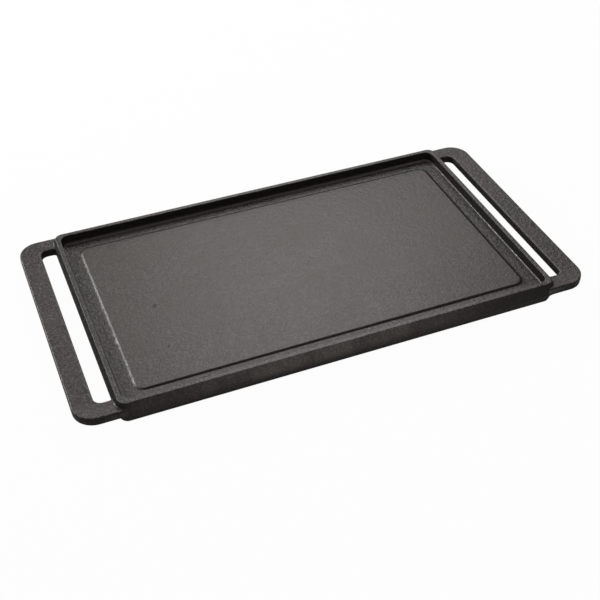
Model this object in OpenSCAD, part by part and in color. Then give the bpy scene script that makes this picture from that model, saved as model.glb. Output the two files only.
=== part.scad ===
// Cast iron griddle plate for two burners, with a loop handle at each end.
// Millimetres, +Z up, +X along the length. The origin is at the middle of the
// footprint, on the plane that the plate rests on.
// The plate is a single casting: each module is one cast feature of it, and
// the features meet face to face.

/* [Overall] */
// Length over both handles
overall_l = 508; // [460:1:560]
// Width over the handles and the widest part of the walls
overall_w = 262; // [220:1:300]
// Height from the resting plane to the top of the rim
height = 24; // [22:0.5:30]

/* [Handles] */
// Width of the grip bar
bar_w = 20.5; // [14:0.5:28]
// Width of the finger slot between the grip bar and the end wall
slot_w = 15; // [12:0.5:30]
// Width of the arms at both ends of the slot
arm_w = 17.5; // [10:0.5:22]
// Height of the handle's underside above the resting plane
handle_z = 10.5; // [8:0.5:13]
// Thickness of the handle
handle_t = 8.5; // [5:0.5:9]
// Radius of the handle's outer corners
handle_r = 20; // [8:0.5:30]
// Radius of the slot's corners beside the grip bar
slot_r = 7; // [3:0.5:10]
// Radius of the slot's corners beside the end wall
slot_wall_r = 3; // [1:0.5:5]

/* [Wall] */
// Wall thickness from its widest part to the face inside the tray
wall_t = 8.2; // [7:0.1:9]
// Width of the rim's top
rim_w = 4.6; // [3.5:0.1:6]
// How far the rim's outer edge leans in from the widest part of the wall
rim_lean = 3.1; // [0.5:0.1:3.5]
// Width of the foot that the plate rests on
foot_w = 5; // [4.5:0.1:6]
// How far the foot's outer edge leans in from the widest part of the wall
foot_lean = 4; // [0.5:0.1:5]
// Outer corner radius of the tray at the widest part of the wall
corner_r = 13; // [12.5:0.5:24]
// Rounding of the rim's edges and the foot's inner edge
edge_r = 1.4; // [0.4:0.1:1.8]
// Rounding of the foot's outer edge
foot_r = 3; // [0.5:0.1:3.5]
// Fillet where the wall meets the floor, above and below
fillet_r = 2; // [0.5:0.1:3]

/* [Cooking side] */
// Depth of the grease gutter below the top of the rim
gutter_depth = 10.2; // [8:0.1:12]
// Width of the gutter, from the wall to the edge of the cooking field
gutter_w = 15; // [8:0.5:25]
// Rise of the cooking field above the gutter
field_rise = 1.5; // [0.5:0.1:3]
// Width of the bevel round the cooking field
field_bevel = 0.8; // [0.5:0.1:3]
// Corner radius of the cooking field
field_r = 7.5; // [3:0.5:15]
// Thickness of the floor under the gutter
floor_t = 4.2; // [4:0.1:6]

/* [Underside] */
// Number of grill ribs
rib_n = 15; // [5:1:19]
// Width of a rib where it leaves the floor
rib_base = 5; // [4:0.5:9]
// Width of a rib at its tip
rib_tip = 3; // [2:0.5:4]
// Gap between the rib tips and the resting plane
rib_gap = 3; // [1:0.5:4]

/* [Hidden] */
$fn = 96;
// Segments in each rounded edge of the wall's section
edge_steps = 6;
// How far a cut reaches past the face that it opens
past = 1;

iron = "#45413f";
seasoned_field = "#625d59";

tray_l = overall_l - 2 * (bar_w + slot_w);
tray_w = overall_w;
// Straight runs of the walls, between the corners
run_l = tray_l - 2 * corner_r;
run_w = tray_w - 2 * corner_r;
// Depth from the widest part of the wall to the joint between wall and floor
joint_d = max(wall_t, foot_lean + foot_w) + fillet_r;
handle_top = handle_z + handle_t;
floor_top = height - gutter_depth;
floor_bottom = floor_top - floor_t;
field_l = tray_l - 2 * (wall_t + gutter_w);
field_w = tray_w - 2 * (wall_t + gutter_w);
slot_l = tray_w - 2 * arm_w;
// Reach of a handle's arm along Y, which takes in both of its rounded corners
arm_reach = max(arm_w + slot_r, handle_r);
rib_pitch = (field_w - rib_base) / (rib_n - 1);
rib_run = field_l - rib_base;

rib_names = [for (i = [1:rib_n]) str("grill_rib_", i)];

function unit(v) = v / norm(v);

// Points of the arc that rounds corner b of an outline between its neighbours
// a and c. Each is [x, y, radius], and a radius of 0 keeps the corner sharp.
function corner_arc(a, b, c) =
    b[2] == 0 ? [[b[0], b[1]]] :
    let (tip = [b[0], b[1]],
         to_a = unit([a[0], a[1]] - tip),
         to_c = unit([c[0], c[1]] - tip),
         half = acos(to_a * to_c) / 2,
         centre = tip + unit(to_a + to_c) * b[2] / sin(half),
         first = tip + to_a * b[2] / tan(half) - centre,
         last = tip + to_c * b[2] / tan(half) - centre,
         start = atan2(first[1], first[0]),
         turn = atan2(first[0] * last[1] - first[1] * last[0], first * last))
    [for (k = [0:edge_steps])
        let (angle = start + turn * k / edge_steps)
        centre + b[2] * [cos(angle), sin(angle)]];

function rounded(points) =
    let (n = len(points))
    [for (i = [0:n - 1])
        each corner_arc(points[(i + n - 1) % n], points[i], points[(i + 1) % n])];

// Section of the wall with its strip of floor, which ends at the given depth.
// x is the depth from the widest part of the wall, and y is the height.
function wall_section(depth) = rounded([
    [foot_lean, 0, foot_r],
    [0, handle_z, 0],
    [0, handle_top, 0],
    [rim_lean, height, edge_r],
    [rim_lean + rim_w, height, edge_r],
    [wall_t, floor_top, fillet_r],
    [depth, floor_top, 0],
    [depth, floor_bottom, 0],
    [foot_lean + foot_w, floor_bottom, fillet_r],
    [foot_lean + foot_w, 0, edge_r]]);

// Section of the cooking field, half as wide as its top plus the bevel
function field_section(half) =
    [[0, 0], [half + field_bevel, 0], [half, field_rise], [0, field_rise]];

// Section of half a rib, hanging down from the floor
function rib_section() =
    [[0, floor_bottom], [rib_base / 2, floor_bottom], [rib_tip / 2, rib_gap], [0, rib_gap]];

// Extrudes a section along X: its x becomes Y, and its y becomes Z
module along_x(run) {
    rotate([90, 0, 90])
        linear_extrude(run, center = true)
            children();
}

// A section and its mirror image, side by side
module both_halves(section) {
    polygon(section);
    mirror([1, 0]) polygon(section);
}

// Straight wall facing -Y, with its widest part at the given distance
module straight_wall(run, distance) {
    color(iron)
        translate([0, -distance, 0])
            along_x(run) polygon(wall_section(joint_d));
}

// Rounded corner at +X +Y, with the web that joins it to the handle
module wall_corner() {
    color(iron)
        translate([run_l / 2, run_w / 2, 0]) {
            rotate_extrude(angle = 90)
                polygon([for (p = wall_section(corner_r)) [corner_r - p[0], p[1]]]);
            translate([0, 0, handle_z])
                linear_extrude(handle_t)
                    difference() {
                        square(corner_r);
                        circle(corner_r - wall_t / 2);
                    }
        }
}

// Outline of the finger slot at +X
module finger_slot() {
    translate([tray_l / 2 - past, -slot_l / 2])
        square([slot_w - slot_r + past, slot_l]);
    translate([tray_l / 2 - past, -slot_l / 2 + slot_r])
        square([slot_w + past, slot_l - 2 * slot_r]);
    for (side = [-1, 1])
        translate([tray_l / 2 + slot_w - slot_r, side * (slot_l / 2 - slot_r)])
            circle(slot_r);
}

// Straight grip bar at +X
module handle_bar() {
    color(iron)
        translate([tray_l / 2 + slot_w, -tray_w / 2 + arm_reach, handle_z])
            cube([bar_w, tray_w - 2 * arm_reach, handle_t]);
}

// Arm at +X +Y, with the rounded corner that leads into the grip bar and the
// fillet that meets the end wall
module handle_arm() {
    color(iron)
        translate([0, 0, handle_z])
            linear_extrude(handle_t) {
                difference() {
                    translate([tray_l / 2, tray_w / 2 - arm_reach])
                        square([slot_w + bar_w, arm_reach]);
                    translate([overall_l / 2 - handle_r, tray_w / 2 - handle_r])
                        difference() {
                            square(handle_r + past);
                            circle(handle_r);
                        }
                    finger_slot();
                }
                translate([tray_l / 2, slot_l / 2 - slot_wall_r])
                    difference() {
                        square(slot_wall_r);
                        translate([slot_wall_r, 0]) circle(slot_wall_r);
                    }
            }
}

// Plate under the gutter, cut out at the corners where the walls' corners meet it
module griddle_floor() {
    color(iron)
        translate([0, 0, floor_bottom])
            linear_extrude(floor_t) {
                square([tray_l - 2 * joint_d, run_w], center = true);
                square([run_l, tray_w - 2 * joint_d], center = true);
            }
}

// Raised cooking field with a bevelled edge
module cooking_plateau() {
    color(seasoned_field)
        translate([0, 0, floor_top]) {
            along_x(field_l - 2 * field_r)
                both_halves(field_section(field_w / 2));
            rotate([0, 0, 90])
                along_x(field_w - 2 * field_r)
                    both_halves(field_section(field_l / 2));
            for (x = [0, 1], y = [0, 1])
                mirror([x, 0, 0])
                    mirror([0, y, 0])
                        translate([field_l / 2 - field_r, field_w / 2 - field_r, 0])
                            rotate_extrude(angle = 90)
                                polygon(field_section(field_r));
        }
}

// Rib under the cooking field, with rounded ends. The first is at the front.
module grill_rib(i) {
    color(iron)
        translate([0, (i - 1) * rib_pitch - (field_w - rib_base) / 2, 0]) {
            along_x(rib_run) both_halves(rib_section());
            for (end = [0, 1])
                mirror([end, 0, 0])
                    translate([rib_run / 2, 0, 0])
                        rotate([0, 0, -90])
                            rotate_extrude(angle = 180)
                                polygon(rib_section());
        }
}

module front_wall() { straight_wall(run_l, tray_w / 2); }
module rear_wall() { mirror([0, 1, 0]) front_wall(); }
module left_wall() { rotate([0, 0, -90]) straight_wall(run_w, tray_l / 2); }
module right_wall() { mirror([1, 0, 0]) left_wall(); }

module rear_right_corner() { wall_corner(); }
module rear_left_corner() { mirror([1, 0, 0]) rear_right_corner(); }
module front_right_corner() { mirror([0, 1, 0]) rear_right_corner(); }
module front_left_corner() { mirror([1, 0, 0]) front_right_corner(); }

module right_handle_bar() { handle_bar(); }
module left_handle_bar() { mirror([1, 0, 0]) right_handle_bar(); }

module right_handle_rear_arm() { handle_arm(); }
module right_handle_front_arm() { mirror([0, 1, 0]) right_handle_rear_arm(); }
module left_handle_rear_arm() { mirror([1, 0, 0]) right_handle_rear_arm(); }
module left_handle_front_arm() { mirror([1, 0, 0]) right_handle_front_arm(); }

griddle_floor();
cooking_plateau();
front_wall();
rear_wall();
left_wall();
right_wall();
front_left_corner();
front_right_corner();
rear_left_corner();
rear_right_corner();
left_handle_bar();
right_handle_bar();
left_handle_front_arm();
left_handle_rear_arm();
right_handle_front_arm();
right_handle_rear_arm();
for (i = [1:rib_n])
    grill_rib(i);
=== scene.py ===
import math
from types import SimpleNamespace

import bmesh
import bpy
from mathutils import Matrix, Vector, noise


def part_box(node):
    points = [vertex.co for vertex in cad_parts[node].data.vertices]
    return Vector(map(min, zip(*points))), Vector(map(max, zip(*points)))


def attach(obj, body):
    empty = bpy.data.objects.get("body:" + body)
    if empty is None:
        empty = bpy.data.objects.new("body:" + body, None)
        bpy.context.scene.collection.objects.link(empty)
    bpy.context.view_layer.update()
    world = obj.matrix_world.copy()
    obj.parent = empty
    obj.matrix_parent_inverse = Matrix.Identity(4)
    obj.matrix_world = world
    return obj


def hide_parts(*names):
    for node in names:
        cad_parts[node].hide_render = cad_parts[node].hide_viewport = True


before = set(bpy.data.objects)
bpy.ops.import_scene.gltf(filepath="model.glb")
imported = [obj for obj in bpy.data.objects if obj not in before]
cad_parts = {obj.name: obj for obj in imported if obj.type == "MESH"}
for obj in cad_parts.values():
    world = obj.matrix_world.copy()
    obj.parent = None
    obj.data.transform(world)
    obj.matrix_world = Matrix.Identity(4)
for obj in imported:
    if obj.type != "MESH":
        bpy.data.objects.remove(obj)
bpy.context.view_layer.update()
scene = bpy.context.scene
mm = 0.001
flat = Matrix.Identity(4)
touch = 0.001 * mm  # points nearer than this are at one place
fineWeld = 0.005 * mm
weld = 0.01 * mm  # mirrored halves join within this

# main measures of the plate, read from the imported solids
floorLow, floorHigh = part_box("griddle_floor")
frontLow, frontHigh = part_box("front_wall")
barLow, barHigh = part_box("right_handle_bar")
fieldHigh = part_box("cooking_plateau")[1]
plate = {
    "halfLength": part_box("right_wall")[1].x,
    "halfWidth": -frontLow.y,
    "height": frontHigh.z,
    "floorTop": floorHigh.z,
    "floorBottom": floorLow.z,
    "handleBottom": barLow.z,
    "handleTop": barHigh.z,
}
print("frame loaded:", len(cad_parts), "nodes")


# bmesh helpers

def vertsOf(geom):
    return [item for item in geom if isinstance(item, bmesh.types.BMVert)]


def edgesOf(geom):
    return [item for item in geom if isinstance(item, bmesh.types.BMEdge)]


def vertsAlong(chain):
    return list(dict.fromkeys(vert for edge in chain for vert in edge.verts))


def everything(bm):
    return bm.verts[:] + bm.edges[:] + bm.faces[:]


def clamped(value):
    return min(1, max(0, value))


# draws a closed outline of (x, y, radius) corners on the XY plane and rounds them
def outlineFace(bm, corners, segments):
    older = set(bm.faces)
    verts = [bm.verts.new((x, y, 0)) for x, y, radius in corners]
    bm.faces.new(verts)
    places = [vert.co.copy() for vert in verts]
    for index, vert in enumerate(verts):
        before = places[index - 1] - places[index]
        after = places[(index + 1) % len(places)] - places[index]
        reach = corners[index][2] / math.tan(before.angle(after) / 2)
        if reach > 0:
            bmesh.ops.bevel(bm, geom=[vert], offset=reach, offset_type="OFFSET", segments=segments,
                            profile=0.5, affect="VERTICES", material=-1)
    return next(face for face in bm.faces if face not in older)


# opens a drawn outline: its face goes, and the edges that lie at the given x
def openOutline(bm, face, x):
    cut = [edge for edge in face.edges if all(abs(vert.co.x - x) < touch for vert in edge.verts)]
    bmesh.ops.delete(bm, geom=[face], context="FACES_ONLY")
    bmesh.ops.delete(bm, geom=cut, context="EDGES")


# stands a drawn outline up, so that its x runs along the given level direction and its y along Z
def standUp(bm, verts, turn):
    bmesh.ops.rotate(bm, verts=verts, cent=(0, 0, 0), matrix=Matrix.Rotation(math.pi / 2, 3, "X"))
    bmesh.ops.rotate(bm, verts=verts, cent=(0, 0, 0), matrix=Matrix.Rotation(turn, 3, "Z"))


# extrudes a chain of edges in a straight line and gives back the far chain
def pull(bm, chain, offset):
    geom = bmesh.ops.extrude_edge_only(bm, edges=chain)["geom"]
    far = set(vertsOf(geom))
    bmesh.ops.translate(bm, vec=offset, verts=list(far))
    return [edge for edge in edgesOf(geom) if set(edge.verts) <= far]


# insets a face, moves it along its normal and gives back the edges of its new place
def insetRing(bm, face, thickness, depth):
    bmesh.ops.inset_region(bm, faces=[face], thickness=thickness, depth=depth, use_boundary=True,
                           use_even_offset=True)
    return list(face.edges)


# turns a chain of edges about an upright axis and gives back the far chain
def swing(bm, chain, centre, angle, steps):
    spun = bmesh.ops.spin(bm, geom=vertsAlong(chain) + chain, cent=centre, axis=(0, 0, 1), angle=angle,
                          steps=steps, use_merge=False, use_duplicate=False)
    return edgesOf(spun["geom_last"])


def roundEdges(bm, edges, radius, segments):
    kept = [edge for edge in edges if edge.is_valid]
    bmesh.ops.bevel(bm, geom=kept, offset=radius, offset_type="OFFSET", segments=segments,
                    profile=0.5, affect="EDGES", material=-1)


def openEdges(bm):
    return [edge for edge in bm.edges if edge.is_boundary]


def mirrored(bm, axis):
    bmesh.ops.mirror(bm, geom=everything(bm), matrix=flat, merge_dist=weld, axis=axis)


# edges whose two faces meet at more than the angle and that the test accepts
def creases(bm, degrees, test):
    limit = math.radians(degrees)
    return [edge for edge in bm.edges
            if len(edge.link_faces) == 2 and edge.calc_face_angle() > limit and test(edge)]


# slow unevenness of the sand mould, the same for every piece at the same place
mould = {
    "size": 45 * mm,
    "sway": 0.12 * mm,
    "rise": 4 * mm,  # height over which the sway sets in, so that the foot stays flat
}
noise.seed_set(4)


def unevenMould(bm):
    for vert in bm.verts:
        lift = clamped(vert.co.z / mould["rise"])
        vert.co += noise.noise_vector(vert.co / mould["size"]) * mould["sway"] * lift


# edge marks that the finishes read
marks = {
    "fullBend": 14,  # degrees between two faces at which an edge is marked in full
    "leastLevel": 0.35,  # hollows on steeper faces aren't marked
    "uprightStart": 2.1,  # the upright mark falls from here as a face gets more level
    "uprightFall": 2.2,
    "sharpBend": 42,  # degrees above which the shading breaks
    "broadArea": 0.0005,
    "border": 0.5 * mm,
}


# worn is 1 on rounded outer edges, hollow is 1 in inner corners that aren't steep,
# and upright is 1 on steep faces
def markEdges(bm):
    worn = bm.verts.layers.float.new("worn")
    hollow = bm.verts.layers.float.new("hollow")
    upright = bm.verts.layers.float.new("upright")
    bm.normal_update()
    for vert in bm.verts:
        bends = [math.degrees(edge.calc_face_angle_signed(0)) for edge in vert.link_edges
                 if len(edge.link_faces) == 2]
        level = abs(vert.normal.z)
        vert[worn] = clamped(max(bends, default=0) / marks["fullBend"])
        if level > marks["leastLevel"]:
            vert[hollow] = clamped(-min(bends, default=0) / marks["fullBend"])
        vert[upright] = clamped(marks["uprightStart"] - marks["uprightFall"] * level)


# gives broad faces a narrow border, so that the marks of an edge don't spread over them
def borderBroadFaces(bm):
    broad = [face for face in bm.faces if len(face.edges) > 4 and face.calc_area() > marks["broadArea"]]
    for face in broad:
        insetRing(bm, face, marks["border"], 0)


def finishPiece(bm, name, material, nodes):
    bmesh.ops.remove_doubles(bm, verts=bm.verts[:], dist=fineWeld)
    bmesh.ops.recalc_face_normals(bm, faces=bm.faces[:])
    if bm.calc_volume(signed=True) < 0:
        bmesh.ops.reverse_faces(bm, faces=bm.faces[:])
    borderBroadFaces(bm)
    unevenMould(bm)
    markEdges(bm)
    for face in bm.faces:
        face.smooth = True
    for edge in creases(bm, marks["sharpBend"], lambda edge: True):
        edge.smooth = False
    mesh = bpy.data.meshes.new(name)
    bm.to_mesh(mesh)
    bm.free()
    mesh.materials.append(material)
    piece = bpy.data.objects.new(name, mesh)
    scene.collection.objects.link(piece)
    weighted = piece.modifiers.new("flatFaces", "WEIGHTED_NORMAL")
    weighted.keep_sharp = True
    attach(piece, "root")
    if nodes:
        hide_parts(*nodes)
    print(name, "has", len(mesh.polygons), "faces")


# shader helpers: Amount wraps a socket, Finish is the node tree of a material or of the world

class Amount:
    def __init__(self, finish, socket):
        self.finish = finish
        self.socket = socket

    def maths(self, operation, first, second):
        return self.finish.add("ShaderNodeMath", {"operation": operation}, {0: first, 1: second})

    def size(self):
        return self.maths("ABSOLUTE", self, 0)

    def lesser(self, other):
        return self.maths("MINIMUM", self, other)

    def __add__(self, other):
        return self.maths("ADD", self, other)

    def __radd__(self, other):
        return self.maths("ADD", other, self)

    def __sub__(self, other):
        return self.maths("SUBTRACT", self, other)

    def __rsub__(self, other):
        return self.maths("SUBTRACT", other, self)

    def __mul__(self, other):
        return self.maths("MULTIPLY", self, other)

    def __rmul__(self, other):
        return self.maths("MULTIPLY", other, self)


class Finish:
    def __init__(self, tree):
        self.tree = tree
        tree.nodes.clear()

    def add(self, kind, settings, sockets, output=0):
        node = self.tree.nodes.new(kind)
        for name, value in settings.items():
            setattr(node, name, value)
        for name, value in sockets.items():
            if isinstance(value, Amount):
                self.tree.links.new(value.socket, node.inputs[name])
            else:
                node.inputs[name].default_value = value
        return Amount(self, node.outputs[output]) if node.outputs else None

    def coordinates(self):
        return self.add("ShaderNodeTexCoord", {}, {}, "Object")

    def along(self, where, axis):
        return self.add("ShaderNodeSeparateXYZ", {}, {"Vector": where}, axis)

    def attribute(self, name):
        return self.add("ShaderNodeAttribute", {"attribute_name": name}, {}, "Fac")

    # noise whose blotches are about size across
    def blotches(self, where, size, detail, roughness):
        return self.add("ShaderNodeTexNoise", {}, {
            "Vector": where, "Scale": 1 / size, "Detail": detail, "Roughness": roughness})

    # 0 below low, 1 above high, smooth between
    def step(self, value, low, high):
        return self.add("ShaderNodeMapRange", {"interpolation_type": "SMOOTHSTEP"}, {
            "Value": value, "From Min": low, "From Max": high, "To Min": 0, "To Max": 1})

    def blend(self, share, first, second):
        return self.add("ShaderNodeMix", {"data_type": "RGBA"}, {0: share, 6: first, 7: second}, 2)

    def bump(self, height, depth, strength, normal=None):
        sockets = {"Height": height, "Distance": depth, "Strength": strength}
        if normal:
            sockets["Normal"] = normal
        return self.add("ShaderNodeBump", {}, sockets)

    def mix(self, share, first, second):
        return self.add("ShaderNodeMixShader", {}, {0: share, 1: first, 2: second}, "Shader")

    def ray(self, kind):
        return self.add("ShaderNodeLightPath", {}, {}, kind)

    def mirroredRays(self):
        return self.ray("Is Glossy Ray") + self.ray("Is Transmission Ray")

    def output(self, shader, kind="ShaderNodeOutputMaterial"):
        self.add(kind, {}, {"Surface": shader})


# seasoned cast iron: a noise is size, detail and roughness, a span is where a change starts and ends

ironFinish = {
    "black": (0.0155, 0.0132, 0.0119, 1),
    "brown": (0.0318, 0.0244, 0.0208, 1),
    # bare iron, also used for painted highlights on the fillets and edges
    "bare": (0.13, 0.113, 0.104, 1),
    # soot colour, also used for painted shade
    "soot": (0.004, 0.0036, 0.0034, 1),
    "scraped": (0.078, 0.069, 0.063, 1),
    "sandGrain": (1.9 * mm, 2, 0.6),
    "sandLumps": (3.6 * mm, 2, 0.55),
    "patches": (34 * mm, 3, 0.6),
    "brownSpan": (0.36, 0.66),
    "speckleSpan": (0.5, 0.68),
    "sandSpan": (0.52, 0.63),
    "grainDepth": 0.5 * mm,
    "grainBump": 0.8,
    "lumpDepth": 1.0 * mm,
    "lumpBump": 1,
    "frontSpan": (5 * mm - plate["halfWidth"], 30 * mm - plate["halfWidth"]),
    "rearSpan": (plate["halfWidth"] - 40 * mm, plate["halfWidth"] - 20 * mm),
    "rightSpan": (0.12, 0.2),
    "leftSpan": (-0.2, -0.12),
    "gutterSpan": (plate["floorTop"] + 0.4 * mm, plate["floorTop"] + 2 * mm),
    "raisedSpan": (plate["floorTop"] + 0.3 * mm, plate["floorTop"] + 1.1 * mm),
    "rimSpan": (plate["handleTop"] + 1 * mm, plate["height"] - 1 * mm),
    "besideSpan": (19.9 * mm, 20.9 * mm),  # gutter floor next to the field, measured from the outer wall
    "scrapedFront": 0.5,
    "scrapedGutter": 0.3,
    "speckles": 0.3,
    "gutterSpeckles": 0.25,  # more in the gutter
    "sandDots": 0.6,
    "gutterSandLoss": 0.05,
    "rightGutterLoss": 0.3,
    "wornBare": 0.6,
    "rightRimSoot": 0.3,
    "leftRimSoot": 0.4,
    "leftRimWear": 0.6,
    "besideSoot": 0.9,
    "hollowSoot": 0.85,
    "litHollowLoss": 0.75,
    "rearFootBare": 0.7,
    "litHollowBare": 0.35,
    "roughness": 0.46,
    "grainRoughness": 0.3,
    "patchRoughness": 0.1,
    "wornPolish": 0.06,
    "specular": 0.28,
    "gloss": 0.12,
    "wornGloss": 0.18,
    "litGloss": 0.35,
    "litSpeckleGloss": 0.65,
    # upright faces
    "sideShare": 0.9,
    "sideColor": (0.0252, 0.0215, 0.0193, 1),
    "sideRoughness": 0.55,
    "sideSpecular": 0.08,
    "rubbed": (0.16, 0.14, 0.129, 1),
    "streaks": (24 * mm, 3, 0.6),
    "streakSpan": (0.3, 0.7),
    "streakStretch": (1, 1, 0.2),
    "rubbedShare": 0.6,
    "rubbedStreaks": 0.8,
    "rubbedUpSpan": (4 * mm, 18 * mm),
    "rubbedFromSpan": (-0.28, -0.03),
    "rubbedToSpan": (-0.06, 0.2),
    "sandSoot": 0.35,
    "endSoot": 0.35,
    "endSpan": (0.195, 0.215),
    "footSoot": 0.3,
    "footSpan": (3 * mm, 11 * mm),
    "insideSoot": 0.4,
    "rearInsideSoot": 0.25,
    "insideSpan": (6.4 * mm, 7.2 * mm),
    "slotSideSoot": 0.85,  # left wall beside the finger slot
    "slotSideFrom": (-2 * mm - plate["halfLength"], -1 * mm - plate["halfLength"]),
    "slotSideTo": (3.5 * mm - plate["halfLength"], 5 * mm - plate["halfLength"]),
}


def newMaterial(name):
    material = bpy.data.materials.new(name)
    material.use_nodes = True
    return material, Finish(material.node_tree)


def surface(finish, color, roughness, coat, specular, normal, coatRoughness=0.3):
    return finish.add("ShaderNodeBsdfPrincipled", {}, {
        "Base Color": color, "Roughness": roughness, "Coat Weight": coat, "Normal": normal,
        "Coat Roughness": coatRoughness, "Specular IOR Level": specular}, "BSDF")


def seasonedIron():
    look = SimpleNamespace(**ironFinish)
    material, finish = newMaterial("seasonedIron")
    where = finish.coordinates()
    across = finish.along(where, "X")
    depth = finish.along(where, "Y")
    height = finish.along(where, "Z")
    worn = finish.attribute("worn")
    hollow = finish.attribute("hollow")
    upright = finish.attribute("upright")
    grain = finish.blotches(where, *look.sandGrain)
    lumps = finish.blotches(where, *look.sandLumps)
    patches = finish.blotches(where, *look.patches)
    tone = finish.step(patches, *look.brownSpan)
    speckle = finish.step(lumps, *look.speckleSpan)
    sand = finish.step(grain, *look.sandSpan)

    # places on the plate
    front = 1 - finish.step(depth, *look.frontSpan)
    rear = finish.step(depth, *look.rearSpan)
    right = finish.step(across, *look.rightSpan)
    left = 1 - finish.step(across, *look.leftSpan)
    ends = finish.step(across.size(), *look.endSpan)
    foot = 1 - finish.step(height, *look.footSpan)
    gutter = 1 - finish.step(height, *look.gutterSpan)
    raised = finish.step(height, *look.raisedSpan)
    rim = finish.step(height, *look.rimSpan)
    inset = (plate["halfWidth"] - depth.size()).lesser(plate["halfLength"] - across.size())
    inside = finish.step(inset, *look.insideSpan)
    beside = gutter * right * finish.step(inset, *look.besideSpan)
    slotSide = finish.step(across, *look.slotSideFrom) * (1 - finish.step(across, *look.slotSideTo))
    rearFoot = rear * (1 - raised)
    lit = right * raised  # fillet under the right wall, which catches the light

    # level faces
    color = finish.blend(tone, look.black, look.brown)
    # lighter at the front and in the gutters but the right one: partly scraped iron, partly a painted
    # highlight
    scraped = look.scrapedFront * front + look.scrapedGutter * gutter * (1 - right)
    color = finish.blend(scraped, color, look.scraped)
    dots = (look.speckles + look.gutterSpeckles * gutter) * speckle
    dots = dots + (look.sandDots - look.gutterSandLoss * gutter) * sand
    # the right gutter gets fewer light dots, a painted shade
    color = finish.blend(dots * (1 - look.rightGutterLoss * gutter * right), color, look.bare)
    color = finish.blend(worn * speckle * look.wornBare, color, look.bare)
    # painted shade on the right and left rims, kept off the left rim's rounded edges, which catch the
    # light
    rimShade = look.rightRimSoot * right + look.leftRimSoot * left * (1 - look.leftRimWear * worn)
    color = finish.blend(rim * rimShade, color, look.soot)
    # painted shade on the right gutter beside the field's step
    color = finish.blend(look.besideSoot * beside, color, look.soot)
    # painted shade in the inner corners, less on the lit right fillet and none at the foot of the rear
    # wall
    hollowSoot = hollow * (look.hollowSoot - look.litHollowLoss * lit) * (1 - rearFoot)
    color = finish.blend(hollowSoot, color, look.soot)
    # painted highlight on the fillet at the foot of the rear wall and on the lit right fillet
    hollowHighlight = hollow * (look.rearFootBare * rearFoot + look.litHollowBare * lit)
    color = finish.blend(hollowHighlight, color, look.bare)
    roughness = look.roughness + look.grainRoughness * (grain - 0.5)
    roughness = roughness + look.patchRoughness * (tone - 0.5) - look.wornPolish * worn
    coat = look.gloss * (0.5 + 0.5 * tone) + look.wornGloss * worn
    coat = coat + hollow * lit * (look.litGloss + look.litSpeckleGloss * speckle)

    # upright faces, lighter along the middle of the front wall and higher up: partly rubbed iron, partly a
    # painted highlight
    drawn = finish.add("ShaderNodeVectorMath", {"operation": "MULTIPLY"}, {
        0: where, 1: look.streakStretch}, "Vector")
    streaks = finish.step(finish.blotches(drawn, *look.streaks), *look.streakSpan)
    rubbed = front * (look.rubbedShare + look.rubbedStreaks * streaks)
    rubbed = rubbed * finish.step(height, *look.rubbedUpSpan)
    rubbed = rubbed * finish.step(across, *look.rubbedFromSpan)
    rubbed = rubbed * (1 - finish.step(across, *look.rubbedToSpan))
    sideColor = finish.blend(rubbed, look.sideColor, look.rubbed)
    # painted shade at the ends and foot of the front wall, with soot between the sand dots
    frontSootAndShade = look.sandSoot * (1 - sand) + look.endSoot * ends + look.footSoot * foot
    sideColor = finish.blend(front * frontSootAndShade, sideColor, look.soot)
    # painted shade on the inner faces of the walls, more at the rear, and on the left wall beside the slot
    wallShade = inside * (look.insideSoot + look.rearInsideSoot * rear) + look.slotSideSoot * slotSide
    sideColor = finish.blend(wallShade, sideColor, look.soot)

    normal = finish.bump(lumps, look.lumpDepth, look.lumpBump)
    normal = finish.bump(grain, look.grainDepth, look.grainBump, normal)
    top = surface(finish, color, roughness, coat, look.specular, normal)
    # a painted shade: steep faces mix into a duller, less glossy copy of the iron
    side = surface(finish, sideColor, look.sideRoughness, 0, look.sideSpecular, normal)
    finish.output(finish.mix(look.sideShare * upright * (1 - hollow), top, side))
    return material


# iron of the cooking field: finer, lighter and warmer, with harsher grain towards the front and left

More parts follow.
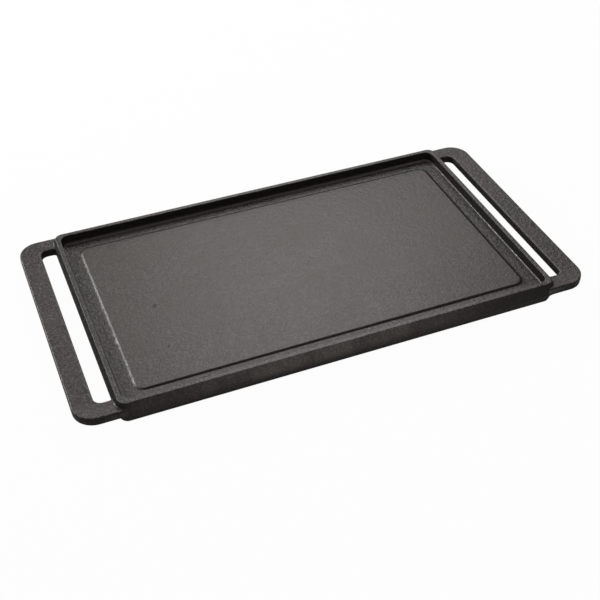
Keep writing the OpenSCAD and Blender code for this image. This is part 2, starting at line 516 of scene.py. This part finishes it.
fieldFinish = {
    "grey": (0.0435, 0.0362, 0.0318, 1),
    "warm": (0.056, 0.0437, 0.0368, 1),
    # dark iron for the grain, also used as painted shade on the step's slope and towards the rear and
    # right
    "edge": (0.008, 0.0072, 0.0066, 1),
    "bare": (0.24, 0.21, 0.19, 1),
    "soot": (0.004, 0.0036, 0.0034, 1),
    "sandGrain": (1.6 * mm, 2, 0.6),
    "sandLumps": (4.2 * mm, 3, 0.55),
    "patches": (48 * mm, 3, 0.6),
    "warmSpan": (0.34, 0.68),
    "speckleSpan": (0.44, 0.72),
    "sandSpan": (0.5, 0.64),
    "grainDepth": 0.36 * mm,
    "grainBump": 0.7,
    "lumpDepth": 0.5 * mm,
    "lumpBump": 0.8,
    "calmDepthSpan": (-0.09, -0.01),
    "calmAcrossSpan": (-0.15, 0.05),
    "grainDark": 0.02,
    "harshDark": 0.28,
    "speckles": 0.07,
    "sandDots": 0.16,
    "harshDots": 0.14,
    "slopeSpan": (fieldHigh.z - 0.45 * mm, fieldHigh.z - 0.1 * mm),
    "slopeDark": 0.9,
    "wornBare": 0.4,
    "wornSpeckles": 0.5,
    "rearSpan": (fieldHigh.y - 12 * mm, fieldHigh.y - 1 * mm),
    "rearDark": 0.3,
    "rightSpan": (fieldHigh.x - 12 * mm, fieldHigh.x - 1 * mm),
    "rightDark": 0.12,
    "farRightSpan": (0.04, 0.15),
    "farRightDark": 0.12,
    "hollowSoot": 0.8,
    "pits": [
        ((-0.1494, -0.0057, fieldHigh.z), 2.6 * mm),
        ((-0.1527, -0.0643, fieldHigh.z), 1.5 * mm),
    ],
    "pitCore": 0.35,  # share of a pit's radius that is at full depth
    "pitDepth": 2,
    "pitSoot": 0.75,
    "roughness": 0.42,
    "grainRoughness": 0.4,
    "lumpRoughness": 0.3,
    "patchRoughness": 0.05,
    "slopeRoughness": 0.4,
    "specular": 0.26,
    "gloss": 0.1,
    "polishedSpan": (3 * mm - fieldHigh.x, 8 * mm - fieldHigh.x),  # the left slope is rubbed shiny
    "polishGloss": 0.2,
    "polishSpeckles": 0.8,
}


def cookingFieldIron():
    look = SimpleNamespace(**fieldFinish)
    material, finish = newMaterial("cookingFieldIron")
    where = finish.coordinates()
    across = finish.along(where, "X")
    depth = finish.along(where, "Y")
    height = finish.along(where, "Z")
    worn = finish.attribute("worn")
    hollow = finish.attribute("hollow")
    grain = finish.blotches(where, *look.sandGrain)
    lumps = finish.blotches(where, *look.sandLumps)
    patches = finish.blotches(where, *look.patches)
    tone = finish.step(patches, *look.warmSpan)
    speckle = finish.step(lumps, *look.speckleSpan)
    sand = finish.step(grain, *look.sandSpan)
    calm = finish.step(depth, *look.calmDepthSpan)
    harsh = 1 - calm * (0.5 + 0.5 * finish.step(across, *look.calmAcrossSpan))
    slope = 1 - finish.step(height, *look.slopeSpan)
    rear = finish.step(depth, *look.rearSpan)
    right = finish.step(across, *look.rightSpan)
    polished = slope * (1 - finish.step(across, *look.polishedSpan))
    pits = 0
    for place, size in look.pits:
        away = finish.add("ShaderNodeVectorMath", {"operation": "DISTANCE"}, {
            0: where, 1: place}, "Value")
        pits = pits + 1 - finish.step(away, look.pitCore * size, size)

    color = finish.blend(tone, look.grey, look.warm)
    color = finish.blend((look.grainDark + look.harshDark * harsh) * (1 - sand), color, look.edge)
    dots = speckle * look.speckles + sand * (look.sandDots + look.harshDots * harsh)
    color = finish.blend(dots, color, look.bare)
    # the step's slope is painted dark as shade
    color = finish.blend(slope * look.slopeDark, color, look.edge)
    # lighter top edges of the step, but not at the rear or right: partly worn bare, partly a painted
    # highlight
    wearAndHighlight = worn * (look.wornBare + look.wornSpeckles * speckle) * (1 - rear) * (1 - right)
    color = finish.blend(wearAndHighlight, color, look.bare)
    # painted shade towards the rear, the right and the far right of the field
    fieldShade = look.rearDark * rear + look.rightDark * right
    fieldShade = fieldShade + look.farRightDark * finish.step(across, *look.farRightSpan)
    color = finish.blend(fieldShade, color, look.edge)
    # painted shade in the corner at the foot of the step
    color = finish.blend(hollow * look.hollowSoot, color, look.soot)
    color = finish.blend(pits * look.pitSoot, color, look.soot)
    roughness = look.roughness + look.grainRoughness * (grain - 0.5)
    roughness = roughness + look.lumpRoughness * (lumps - 0.5) + look.patchRoughness * (tone - 0.5)
    roughness = roughness + look.slopeRoughness * (slope - polished)
    coat = look.gloss * (1 - slope) + polished * (look.polishGloss + look.polishSpeckles * speckle)
    normal = finish.bump(lumps, look.lumpDepth, look.lumpBump)
    normal = finish.bump(grain - look.pitDepth * pits, look.grainDepth, look.grainBump, normal)
    finish.output(surface(finish, color, roughness, coat, look.specular, normal))
    return material


iron = seasonedIron()
fieldIron = cookingFieldIron()
print("finishes ready")


# tray: one wall section, pulled along the walls and spun round the corners

wall = {
    "thickness": 8.2 * mm,
    "rimWidth": 4.6 * mm,
    "rimLean": 3.1 * mm,
    "footWidth": 5.0 * mm,
    "footLean": 4.0 * mm,
    "rimRound": 0.9 * mm,
    "footRound": 3.0 * mm,
    "footInnerRound": 1.4 * mm,
    "fillet": 2.6 * mm,
    "lowerFillet": 1.0 * mm,
    "beltDraft": 0.3 * mm,  # taper of the belt beside the handles, both ways from the parting line
    "beltRound": 2.5 * mm,
    "cornerRadius": 10.6 * mm,
    "innerCornerRadius": 8.0 * mm,  # of the rim's inner edge
    "strip": 11.2 * mm,  # depth at which the section gives way to the flat floor
    "sectionSteps": 6,
    "cornerSteps": 18,
}
cornerCentre = Vector((plate["halfLength"], -plate["halfWidth"], 0))  # of the front right corner
cornerCentre += Vector((-wall["cornerRadius"], wall["cornerRadius"], 0))


# a corner is spun about the centre of its inner round, and this draws its outer side out to a tighter one
def tightenOuterCorner(bm, innerCentre, bend):
    outerDepth = wall["rimLean"] + wall["rimRound"]
    innerDepth = wall["rimLean"] + wall["rimWidth"] - wall["rimRound"]
    for vert in bm.verts:
        arm = Vector((vert.co.x - innerCentre.x, vert.co.y - innerCentre.y, 0))
        if arm.x > -touch and arm.y < touch:
            share = (bend - arm.length - innerDepth) / (outerDepth - innerDepth)
            reach = clamped(share) * (bend - wall["cornerRadius"])
            vert.co -= reach * (arm.normalized() + Vector((-1, 1, 0)))


def buildTray():
    bm = bmesh.new()
    footInner = wall["footLean"] + wall["footWidth"]
    section = [
        (wall["footLean"], 0, wall["footRound"]),
        (wall["beltDraft"], plate["handleBottom"], wall["beltRound"]),
        (0, (plate["handleBottom"] + plate["handleTop"]) / 2, 0),
        (wall["beltDraft"], plate["handleTop"], wall["beltRound"]),
        (wall["rimLean"], plate["height"], wall["rimRound"]),
        (wall["rimLean"] + wall["rimWidth"], plate["height"], wall["rimRound"]),
        (wall["thickness"], plate["floorTop"], wall["fillet"]),
        (wall["strip"], plate["floorTop"], 0),
        (wall["strip"], plate["floorBottom"], 0),
        (footInner, plate["floorBottom"], wall["lowerFillet"]),
        (footInner, 0, wall["footInnerRound"]),
    ]
    openOutline(bm, outlineFace(bm, section, wall["sectionSteps"]), wall["strip"])
    standUp(bm, bm.verts[:], math.pi / 2)
    bmesh.ops.translate(bm, verts=bm.verts[:], vec=(0, -plate["halfWidth"], 0))
    bend = wall["innerCornerRadius"] + wall["rimLean"] + wall["rimWidth"]
    innerCentre = Vector((plate["halfLength"] - bend, bend - plate["halfWidth"], 0))
    chain = pull(bm, bm.edges[:], (innerCentre.x, 0, 0))
    chain = swing(bm, chain, innerCentre, math.pi / 2, wall["cornerSteps"])
    pull(bm, chain, (0, -innerCentre.y, 0))
    tightenOuterCorner(bm, innerCentre, bend)
    mirrored(bm, "X")
    mirrored(bm, "Y")
    bmesh.ops.remove_doubles(bm, verts=bm.verts[:], dist=weld)
    bmesh.ops.holes_fill(bm, edges=openEdges(bm), sides=0)
    finishPiece(bm, "tray", iron, [
        "griddle_floor", "front_wall", "rear_wall", "left_wall", "right_wall",
        "front_left_corner", "front_right_corner", "rear_left_corner", "rear_right_corner"])


buildTray()


# cooking field: a low plateau with a sloped, softened edge

field = {
    "bevel": 2.0 * mm,
    "cornerRadius": 7.5 * mm,
    "topRound": 0.5 * mm,
    "footRound": 0.35 * mm,
    "apron": 1.0 * mm,  # thin rim of the plateau that lies on the gutter floor
    "lap": 0.03 * mm,  # the apron lies this far above the floor
    "sunk": 1.0 * mm,
    "roundSteps": 4,
    "cornerSteps": 12,
}


def buildField():
    bm = bmesh.new()
    x = fieldHigh.x + field["apron"]
    y = fieldHigh.y + field["apron"]
    radius = field["cornerRadius"] + field["bevel"] + field["apron"]
    face = outlineFace(bm, [(-x, -y, radius), (x, -y, radius), (x, y, radius), (-x, y, radius)],
                       field["cornerSteps"])
    bmesh.ops.translate(bm, verts=bm.verts[:], vec=(0, 0, plate["floorTop"] + field["lap"]))
    rise = fieldHigh.z - plate["floorTop"] - field["lap"]
    foot = insetRing(bm, face, field["apron"], 0)
    top = insetRing(bm, face, field["bevel"], rise)
    pull(bm, openEdges(bm), (0, 0, -field["sunk"]))
    bmesh.ops.holes_fill(bm, edges=openEdges(bm), sides=0)
    roundEdges(bm, foot, field["footRound"], field["roundSteps"])
    roundEdges(bm, top, field["topRound"], field["roundSteps"])
    finishPiece(bm, "cooking_field", fieldIron, ["cooking_plateau"])


buildField()


# handles: a drafted plate that is drawn at its parting line and mirrored up and down

handle = {
    "outerRound": 20 * mm,
    "slotRound": 7 * mm,
    "slotWallRound": 3 * mm,
    "slotGap": 0.05 * mm,  # between the slot's edge and the widest part of the wall
    "armWidth": 17.5 * mm,
    "flash": 0.12 * mm,  # thin ridge left along the mould's parting line
    "flashHeight": 0.25 * mm,
    "draft": 0.1 * mm,
    "topRound": 1.2 * mm,
    "underRound": 0.9 * mm,
    "bite": 6 * mm,  # how far the arms run into the tray wall
    "tip": 4 * mm,  # how far an arm runs on along the front or rear wall
    "rootOverlap": 5 * mm,  # how far an arm's root runs on inside the wall, past the slot's round end
    "edgeBend": 60,  # degrees between two faces at which an edge gets rounded
    "roundSteps": 5,
    "cornerSteps": 14,
}


def buildHandle(side, name, nodes):
    bm = bmesh.new()
    reach = barHigh.x
    width = plate["halfWidth"]
    tip = cornerCentre.x - handle["tip"]
    inside = plate["halfLength"] - handle["bite"]
    slotEnd = width - handle["armWidth"]
    slotStart = plate["halfLength"] - handle["slotGap"]
    tongue = slotEnd - handle["slotWallRound"] - handle["rootOverlap"]
    half = [
        (reach, width, handle["outerRound"]),
        (tip, width, 0),
        (tip, width - handle["bite"], 0),
        (inside, width - handle["bite"], wall["cornerRadius"] - handle["bite"]),
        (inside, tongue, 0),
        (slotStart, tongue, 0),
        (slotStart, slotEnd, handle["slotWallRound"]),
        (barLow.x, slotEnd, handle["slotRound"]),
    ]
    corners = half + [(x, -y, radius) for x, y, radius in reversed(half)]
    face = outlineFace(bm, corners, handle["cornerSteps"])
    halfThick = (plate["handleTop"] - plate["handleBottom"]) / 2
    if face.normal.z < 0:
        face.normal_flip()
    insetRing(bm, face, handle["flash"], handle["flashHeight"])
    insetRing(bm, face, handle["draft"], halfThick - handle["flashHeight"])
    mirrored(bm, "Z")
    bmesh.ops.remove_doubles(bm, verts=bm.verts[:], dist=fineWeld)
    bmesh.ops.recalc_face_normals(bm, faces=bm.faces[:])
    for level, radius in ((halfThick, handle["topRound"]), (-halfThick, handle["underRound"])):
        edges = creases(bm, handle["edgeBend"],
                        lambda edge: all(abs(vert.co.z - level) < weld for vert in edge.verts))
        roundEdges(bm, edges, radius, handle["roundSteps"])
    bmesh.ops.translate(bm, verts=bm.verts[:], vec=(0, 0, plate["handleBottom"] + halfThick))
    bmesh.ops.scale(bm, verts=bm.verts[:], vec=(side, 1, 1))
    finishPiece(bm, name, iron, nodes)


buildHandle(-1, "left_handle", ["left_handle_bar", "left_handle_front_arm", "left_handle_rear_arm"])
buildHandle(1, "right_handle", ["right_handle_bar", "right_handle_front_arm", "right_handle_rear_arm"])


# fillets where the handle arms meet the tray wall, above and below each arm

fillet = {
    "leg": 1.9 * mm,
    "roundShare": 0.95,  # of the largest round that fits between the legs
    "sunk": 0.9 * mm,
    "bed": 0.5 * mm,  # how far the fillets sit inside the belt of the wall
    "tail": 4.5 * mm,  # length that tapers off beside the slot
    "tailShare": 0.2,
    "frontTrim": 0.5 * mm,
    "steps": 5,
    "cornerSteps": 14,
}


# lean is how far the wall falls back for each unit of height, upwards is 1 above the arm and -1 below it
def addFillet(bm, level, lean, upwards):
    leg = fillet["leg"]
    buried = -fillet["sunk"]
    opening = math.pi / 2 + math.atan(lean)
    face = outlineFace(bm, [
        (buried, buried, 0),
        (leg, buried, 0),
        (leg, 0, 0),
        (0, 0, fillet["roundShare"] * leg * math.tan(opening / 2)),
        (-lean * leg, leg, 0),
        (buried - lean * leg, leg, 0),
    ], fillet["steps"])
    chain = list(face.edges)
    verts = list(face.verts)
    bmesh.ops.delete(bm, geom=[face], context="FACES_ONLY")
    bmesh.ops.scale(bm, verts=verts, vec=(1, upwards, 1))
    standUp(bm, verts, 0)
    root = Vector((plate["halfLength"] - fillet["bed"], cornerCentre.y, level))
    bmesh.ops.translate(bm, verts=verts, vec=root)
    tail = pull(bm, chain, (0, fillet["tail"], 0))
    bmesh.ops.scale(bm, verts=vertsAlong(tail), vec=(fillet["tailShare"], 1, fillet["tailShare"]),
                    space=Matrix.Translation(-root))
    swing(bm, chain, cornerCentre, -math.pi / 2, fillet["cornerSteps"])


def buildFillets():
    bm = bmesh.new()
    addFillet(bm, plate["handleTop"], wall["rimLean"] / (plate["height"] - plate["handleTop"]), 1)
    addFillet(bm, plate["handleBottom"], wall["footLean"] / plate["handleBottom"], -1)
    bmesh.ops.bisect_plane(bm, geom=everything(bm), clear_outer=True, plane_no=(0, -1, 0),
                           plane_co=(0, fillet["frontTrim"] - plate["halfWidth"], 0))
    bmesh.ops.holes_fill(bm, edges=openEdges(bm), sides=0)
    mirrored(bm, "X")
    mirrored(bm, "Y")
    finishPiece(bm, "arm_fillets", iron, [])


buildFillets()


# grill ribs under the floor: each narrows downwards, has round ends and spreads into the floor

rib = {
    "tipHalf": 1.5 * mm,
    "tipRound": 1.1 * mm,
    "footRound": 1.6 * mm,
    "apron": 1.8 * mm,
    "lap": 0.03 * mm,  # the apron lies this far below the floor
    "sunk": 1.0 * mm,
    "steps": 4,
    "endSteps": 16,
}


def middleY(name):
    low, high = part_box(name)
    return (low.y + high.y) / 2


def buildRibs(names):
    bm = bmesh.new()
    low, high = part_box(names[0])
    baseHalf = (high.y - low.y) / 2
    run = high.x - baseHalf
    face = outlineFace(bm, [
        (0, low.z, 0),
        (rib["tipHalf"], low.z, rib["tipRound"]),
        (baseHalf, high.z - rib["lap"], rib["footRound"]),
        (baseHalf + rib["apron"], high.z - rib["lap"], 0),
        (baseHalf + rib["apron"], high.z + rib["sunk"], 0),
        (0, high.z + rib["sunk"], 0),
    ], rib["steps"])
    openOutline(bm, face, 0)
    chain = bm.edges[:]
    standUp(bm, bm.verts[:], math.pi / 2)
    bmesh.ops.translate(bm, verts=bm.verts[:], vec=(run, 0, 0))
    pull(bm, chain, (-run, 0, 0))
    chain = swing(bm, chain, (run, 0, 0), -math.pi, rib["endSteps"])
    pull(bm, chain, (-run, 0, 0))
    mirrored(bm, "X")
    bmesh.ops.remove_doubles(bm, verts=bm.verts[:], dist=weld)
    bmesh.ops.translate(bm, verts=bm.verts[:], vec=(0, middleY(names[0]), 0))
    first = everything(bm)
    for name in names[1:]:
        copied = bmesh.ops.duplicate(bm, geom=first)["geom"]
        bmesh.ops.translate(bm, verts=vertsOf(copied), vec=(0, middleY(name) - middleY(names[0]), 0))
    finishPiece(bm, "grill_ribs", iron, names)


buildRibs(sorted(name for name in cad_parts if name.startswith("grill_rib_")))


# stage: pale floor, white surroundings, soft lamps

stage = {
    "floorSize": 6,
    "floorDrop": 0.2 * mm,  # keeps the floor clear of the foot
    "paper": (0.75, 0.75, 0.75, 1),
    "white": (1, 1, 1, 1),
    "bright": (-0.5, 0.87, 0),  # direction of the bright side of the studio
    "sweep": (-0.3, 0.45),  # part of the turn towards that side over which the surroundings go white
    "frontAmbient": 0.18,
    "rearAmbient": 0.42,
    "mirroredSweep": 0.2,
    "seenGlow": 0.97,
    "mirroredGlow": 0.2,
}


def buildFloor():
    bm = bmesh.new()
    bmesh.ops.create_grid(bm, x_segments=1, y_segments=1, size=stage["floorSize"] / 2)
    bmesh.ops.translate(bm, verts=bm.verts[:], vec=(0, 0, -stage["floorDrop"]))
    mesh = bpy.data.meshes.new("floor")
    bm.to_mesh(mesh)
    bm.free()
    material, finish = newMaterial("paleFloor")
    share = stage["seenGlow"] * finish.ray("Is Camera Ray") + stage["mirroredGlow"] * finish.mirroredRays()
    matt = finish.add("ShaderNodeBsdfDiffuse", {}, {"Color": stage["paper"]}, "BSDF")
    glow = finish.add("ShaderNodeEmission", {}, {"Color": stage["white"], "Strength": 1}, "Emission")
    finish.output(finish.mix(share, matt, glow))
    mesh.materials.append(material)
    floor = bpy.data.objects.new("floor", mesh)
    scene.collection.objects.link(floor)


# the studio is white behind the plate and dim behind the camera
def buildWorld():
    world = bpy.data.worlds.new("studio")
    world.use_nodes = True
    scene.world = world
    finish = Finish(world.node_tree)
    toward = finish.add("ShaderNodeTexCoord", {}, {}, "Generated")
    turned = finish.add("ShaderNodeVectorMath", {"operation": "DOT_PRODUCT"}, {
        0: toward, 1: stage["bright"]}, "Value")
    behind = finish.step(turned, *stage["sweep"])
    seen = finish.ray("Is Camera Ray") + stage["mirroredSweep"] * finish.mirroredRays() * behind
    dim, soft, white = [
        finish.add("ShaderNodeBackground", {}, {"Color": stage["white"], "Strength": strength})
        for strength in (stage["frontAmbient"], stage["rearAmbient"], 1)]
    around = finish.mix(behind, dim, soft)
    finish.output(finish.mix(seen, around, white), "ShaderNodeOutputWorld")


lamps = {
    "softbox": {"place": (0.42, 1.0, 1.15), "size": (0.8, 0.7), "watts": 10.2},
    "strip": {"place": (-1.1, 1.05, 0.62), "size": (0.6, 0.4), "watts": 16},
    "fill": {"place": (0.45, -1.5, 0.5), "size": (0.9, 0.6), "watts": 3.5},
}


def buildLamps():
    for name, values in lamps.items():
        data = bpy.data.lights.new(name, "AREA")
        data.shape = "RECTANGLE"
        data.size, data.size_y = values["size"]
        data.energy = values["watts"]
        lamp = bpy.data.objects.new(name, data)
        lamp.location = values["place"]
        lamp.rotation_euler = Vector(values["place"]).to_track_quat("Z", "Y").to_euler()
        scene.collection.objects.link(lamp)


# camera at the photograph's angle

cameraView = {
    "place": (-0.30908, -0.75963, 0.67501),
    "target": (-0.00367, -0.01475, -0.01748),
    "lens": 63.41,
    "sensor": 36,
    "nearest": 0.01,
}


def buildCamera():
    data = bpy.data.cameras.new("camera")
    data.lens = cameraView["lens"]
    data.sensor_width = cameraView["sensor"]
    data.clip_start = cameraView["nearest"]
    camera = bpy.data.objects.new("camera", data)
    camera.location = cameraView["place"]
    away = Vector(cameraView["place"]) - Vector(cameraView["target"])
    camera.rotation_euler = away.to_track_quat("Z", "Y").to_euler()
    scene.collection.objects.link(camera)
    scene.camera = camera


buildFloor()
buildWorld()
buildLamps()
buildCamera()
scene.view_settings.view_transform = "Standard"
print("stage, lamps and camera ready")
